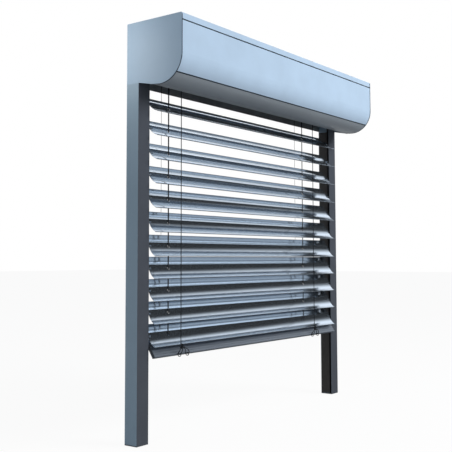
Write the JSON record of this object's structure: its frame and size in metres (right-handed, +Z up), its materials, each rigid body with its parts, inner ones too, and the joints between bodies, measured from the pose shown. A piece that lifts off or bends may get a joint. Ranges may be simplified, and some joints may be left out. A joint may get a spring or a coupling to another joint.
{
  "type": "exterior venetian blind",
  "caption": "Exterior venetian blind: a cover box with rounded front over two side rails, tilting dished slats on pins and shoes, and a ribbed bottom rail.",
  "frame": {"origin": "centre of the four wall fixing holes in the back plate of the box, on the wall plane", "axes": "+X across the window to the right as seen from the front, +Y into the wall, +Z up; the front faces -Y"},
  "size_m": [1.2, 0.216, 1.265],
  "materials": {
    "box_paint": "smooth light steel-blue powder coat",
    "soffit_paint": "darker grey powder coat",
    "cap_paint": "smooth steel-blue powder coat",
    "rail_paint": "smooth blue-grey powder coat",
    "slat_paint": "glossy steel-blue stove enamel",
    "bottom_rail_paint": "satin blue-grey powder coat",
    "galvanised": "dull galvanised sheet",
    "steel": "bright drawn steel",
    "black_plastic": "matt black moulded plastic",
    "grey_plastic": "matt grey moulded plastic",
    "tape_web": "black woven polyester tape",
    "cord_web": "black braided polyester cord",
    "motor_paint": "black satin lacquer"
  },
  "bodies": {
    "frame": {"back_plate": "galvanised", "roof_profile": "box_paint", "front_cover": "box_paint", "soffit_panel": "soffit_paint", "soffit_screws": "steel", "end_cap_left": "cap_paint", "end_cap_right": "cap_paint", "rail_left": "rail_paint", "rail_right": "rail_paint", "guide_liners": "black_plastic", "rail_feet": "grey_plastic", "headrail": "galvanised", "headrail_brackets": "galvanised", "motor": "motor_paint", "spool_housings": "grey_plastic", "ladder_spreaders": "black_plastic", "lift_tapes": "tape_web", "ladder_cords": "cord_web"},
    "drive": {"drive_shaft": "steel", "tape_spools": "grey_plastic"},
    "bottom_shoes": {"bottom_shoes": "black_plastic"},
    "bottom_rail": {"bottom_rail": "bottom_rail_paint", "bottom_rail_caps": "grey_plastic", "tape_clips": "black_plastic", "bottom_pins": "steel"},
    "shoes_01": {"shoes_01": "black_plastic"},
    "slat_01": {"slat_01": "slat_paint", "pins_01": "steel"},
    "shoes_02": {"shoes_02": "black_plastic"},
    "slat_02": {"slat_02": "slat_paint", "pins_02": "steel"},
    "shoes_03": {"shoes_03": "black_plastic"},
    "slat_03": {"slat_03": "slat_paint", "pins_03": "steel"},
    "shoes_04": {"shoes_04": "black_plastic"},
    "slat_04": {"slat_04": "slat_paint", "pins_04": "steel"},
    "shoes_05": {"shoes_05": "black_plastic"},
    "slat_05": {"slat_05": "slat_paint", "pins_05": "steel"},
    "shoes_06": {"shoes_06": "black_plastic"},
    "slat_06": {"slat_06": "slat_paint", "pins_06": "steel"},
    "shoes_07": {"shoes_07": "black_plastic"},
    "slat_07": {"slat_07": "slat_paint", "pins_07": "steel"},
    "shoes_08": {"shoes_08": "black_plastic"},
    "slat_08": {"slat_08": "slat_paint", "pins_08": "steel"},
    "shoes_09": {"shoes_09": "black_plastic"},
    "slat_09": {"slat_09": "slat_paint", "pins_09": "steel"},
    "shoes_10": {"shoes_10": "black_plastic"},
    "slat_10": {"slat_10": "slat_paint", "pins_10": "steel"},
    "shoes_11": {"shoes_11": "black_plastic"},
    "slat_11": {"slat_11": "slat_paint", "pins_11": "steel"}
  },
  "joints": [
    {"name": "blind_raise", "type": "slide", "parent": "frame", "child": "bottom_shoes", "axis": [0, 0, 1], "range_m": [0, 0.7092], "deforming": ["lift_tapes", "ladder_cords"]},
    {"name": "slat_tilt", "type": "hinge", "parent": "bottom_shoes", "child": "bottom_rail", "pos_m": [0, -0.043, -0.8865], "axis": [1, 0, 0], "range_deg": [-57.5, 10]},
    {"name": "drive_turn", "type": "hinge", "parent": "frame", "child": "drive", "pos_m": [0, -0.03, 0.062], "axis": [1, 0, 0], "range_deg": [-3183, 5]},
    {"name": "lift_01", "type": "slide", "parent": "frame", "child": "shoes_01", "axis": [0, 0, 1], "range_m": [-0.0005, 0.158]},
    {"name": "tilt_01", "type": "hinge", "parent": "shoes_01", "child": "slat_01", "pos_m": [0, -0.043, -0.1535], "axis": [1, 0, 0], "range_deg": [-37.6, 6.7]},
    {"name": "lift_02", "type": "slide", "parent": "frame", "child": "shoes_02", "axis": [0, 0, 1], "range_m": [-0.0005, 0.2204]},
    {"name": "tilt_02", "type": "hinge", "parent": "shoes_02", "child": "slat_02", "pos_m": [0, -0.043, -0.2255], "axis": [1, 0, 0], "range_deg": [-40.8, 7.26]},
    {"name": "lift_03", "type": "slide", "parent": "frame", "child": "shoes_03", "axis": [0, 0, 1], "range_m": [-0.0005, 0.2802]},
    {"name": "tilt_03", "type": "hinge", "parent": "shoes_03", "child": "slat_03", "pos_m": [0, -0.043, -0.2975], "axis": [1, 0, 0], "range_deg": [-44, 7.82]},
    {"name": "lift_04", "type": "slide", "parent": "frame", "child": "shoes_04", "axis": [0, 0, 1], "range_m": [-0.0005, 0.3381]},
    {"name": "tilt_04", "type": "hinge", "parent": "shoes_04", "child": "slat_04", "pos_m": [0, -0.043, -0.3695], "axis": [1, 0, 0], "range_deg": [-47.2, 8.37]},
    {"name": "lift_05", "type": "slide", "parent": "frame", "child": "shoes_05", "axis": [0, 0, 1], "range_m": [-0.0005, 0.395]},
    {"name": "tilt_05", "type": "hinge", "parent": "shoes_05", "child": "slat_05", "pos_m": [0, -0.043, -0.4415], "axis": [1, 0, 0], "range_deg": [-50.4, 8.93]},
    {"name": "lift_06", "type": "slide", "parent": "frame", "child": "shoes_06", "axis": [0, 0, 1], "range_m": [-0.0005, 0.451]},
    {"name": "tilt_06", "type": "hinge", "parent": "shoes_06", "child": "slat_06", "pos_m": [0, -0.043, -0.5135], "axis": [1, 0, 0], "range_deg": [-53.6, 9.49]},
    {"name": "lift_07", "type": "slide", "parent": "frame", "child": "shoes_07", "axis": [0, 0, 1], "range_m": [-0.0005, 0.5058]},
    {"name": "tilt_07", "type": "hinge", "parent": "shoes_07", "child": "slat_07", "pos_m": [0, -0.043, -0.5855], "axis": [1, 0, 0], "range_deg": [-56.8, 10.04]},
    {"name": "lift_08", "type": "slide", "parent": "frame", "child": "shoes_08", "axis": [0, 0, 1], "range_m": [-0.0005, 0.5557]},
    {"name": "tilt_08", "type": "hinge", "parent": "shoes_08", "child": "slat_08", "pos_m": [0, -0.043, -0.6535], "axis": [1, 0, 0], "range_deg": [-57.7, 10.2]},
    {"name": "lift_09", "type": "slide", "parent": "frame", "child": "shoes_09", "axis": [0, 0, 1], "range_m": [-0.0005, 0.6052]},
    {"name": "tilt_09", "type": "hinge", "parent": "shoes_09", "child": "slat_09", "pos_m": [0, -0.043, -0.7215], "axis": [1, 0, 0], "range_deg": [-57.7, 10.2]},
    {"name": "lift_10", "type": "slide", "parent": "frame", "child": "shoes_10", "axis": [0, 0, 1], "range_m": [-0.0005, 0.6547]},
    {"name": "tilt_10", "type": "hinge", "parent": "shoes_10", "child": "slat_10", "pos_m": [0, -0.043, -0.7895], "axis": [1, 0, 0], "range_deg": [-57.7, 10.2]},
    {"name": "lift_11", "type": "slide", "parent": "frame", "child": "shoes_11", "axis": [0, 0, 1], "range_m": [-0.0005, 0.7042]},
    {"name": "tilt_11", "type": "hinge", "parent": "shoes_11", "child": "slat_11", "pos_m": [0, -0.043, -0.8575], "axis": [1, 0, 0], "range_deg": [-57.7, 10.2]}
  ],
  "couplings": [
    {"joint": "drive_turn", "follows": "blind_raise", "rad_per_m": -78.125},
    {"joint": "lift_01", "follows": "blind_raise", "ratio": 0.22208},
    {"joint": "tilt_01", "follows": "slat_tilt", "ratio": 0.65043},
    {"joint": "lift_02", "follows": "blind_raise", "ratio": 0.31007},
    {"joint": "tilt_02", "follows": "slat_tilt", "ratio": 0.70609},
    {"joint": "lift_03", "follows": "blind_raise", "ratio": 0.39439},
    {"joint": "tilt_03", "follows": "slat_tilt", "ratio": 0.76174},
    {"joint": "lift_04", "follows": "blind_raise", "ratio": 0.47603},
    {"joint": "tilt_04", "follows": "slat_tilt", "ratio": 0.81739},
    {"joint": "lift_05", "follows": "blind_raise", "ratio": 0.55626},
    {"joint": "tilt_05", "follows": "slat_tilt", "ratio": 0.87304},
    {"joint": "lift_06", "follows": "blind_raise", "ratio": 0.63522},
    {"joint": "tilt_06", "follows": "slat_tilt", "ratio": 0.9287},
    {"joint": "lift_07", "follows": "blind_raise", "ratio": 0.71249},
    {"joint": "tilt_07", "follows": "slat_tilt", "ratio": 0.98435},
    {"joint": "lift_08", "follows": "blind_raise", "ratio": 0.78285},
    {"joint": "tilt_08", "follows": "slat_tilt", "ratio": 1},
    {"joint": "lift_09", "follows": "blind_raise", "ratio": 0.85265},
    {"joint": "tilt_09", "follows": "slat_tilt", "ratio": 1},
    {"joint": "lift_10", "follows": "blind_raise", "ratio": 0.92245},
    {"joint": "tilt_10", "follows": "slat_tilt", "ratio": 1},
    {"joint": "lift_11", "follows": "blind_raise", "ratio": 0.99225},
    {"joint": "tilt_11", "follows": "slat_tilt", "ratio": 1}
  ]
}
